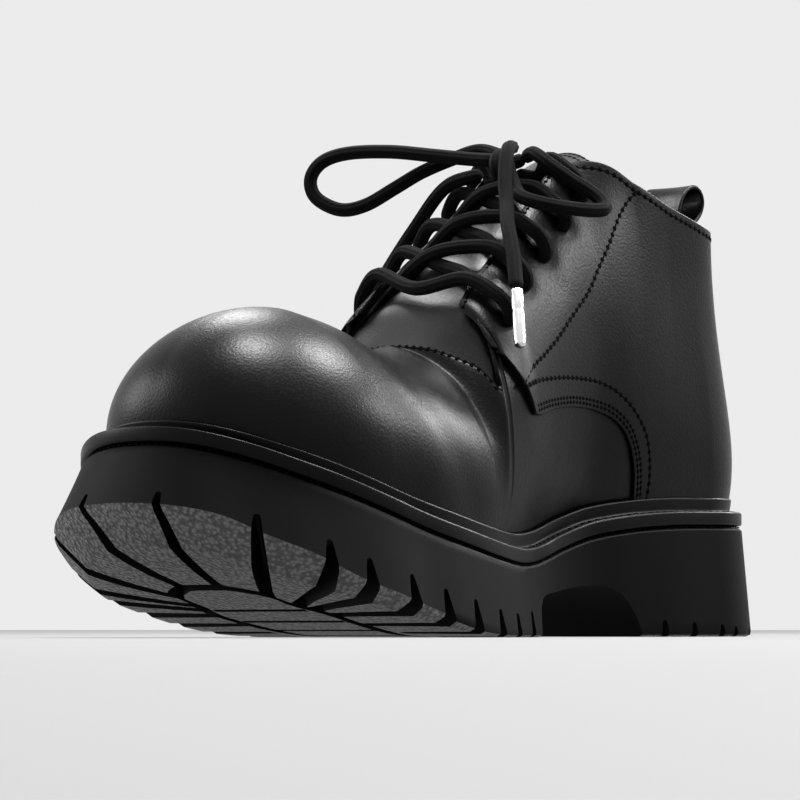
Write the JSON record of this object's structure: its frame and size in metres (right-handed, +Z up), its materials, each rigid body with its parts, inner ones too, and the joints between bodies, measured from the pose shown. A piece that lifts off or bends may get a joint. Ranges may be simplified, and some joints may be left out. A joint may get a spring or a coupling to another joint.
{
  "type": "elevator derby shoe",
  "caption": "Right-foot leather derby ankle boot with a bulbous round toe, open lacing tied in a bow, tongue, back pull loop and a thick lugged rubber sole with an arch tunnel and heel block.",
  "frame": {"origin": "on the ground under the middle of the heel block, on its uncut flat tread", "axes": "+Z up, -Y towards the toe, +X towards the medial side of a right foot"},
  "size_m": [0.1377, 0.3058, 0.1762],
  "materials": {
    "sole_rubber": "matte black moulded rubber, coarse texture on the lugs",
    "welt_rubber": "satin black rubber lip with a stitched ledge",
    "lining": "black lining cloth",
    "upper_leather": "satin black fine-grained leather",
    "tongue_leather": "satin black fine-grained leather",
    "loop_leather": "satin black leather strap",
    "lace": "round ribbed black lace",
    "aglet": "crimped bright metal tip"
  },
  "bodies": {
    "root": {"outsole": "sole_rubber", "welt_midsole": "welt_rubber", "insole": "lining", "upper": "upper_leather", "tongue": "tongue_leather", "pull_loop": "loop_leather", "lace_bar": "lace", "lace_cross_1": "lace", "lace_cross_2": "lace", "lace_cross_3": "lace", "lace_top_medial": "lace", "lace_top_lateral": "lace", "lace_knot": "lace", "lace_loop_medial": "lace", "lace_loop_lateral": "lace", "lace_end_medial": "lace", "lace_end_lateral": "lace", "aglet_medial": "aglet", "aglet_lateral": "aglet"}
  },
  "joints": []
}
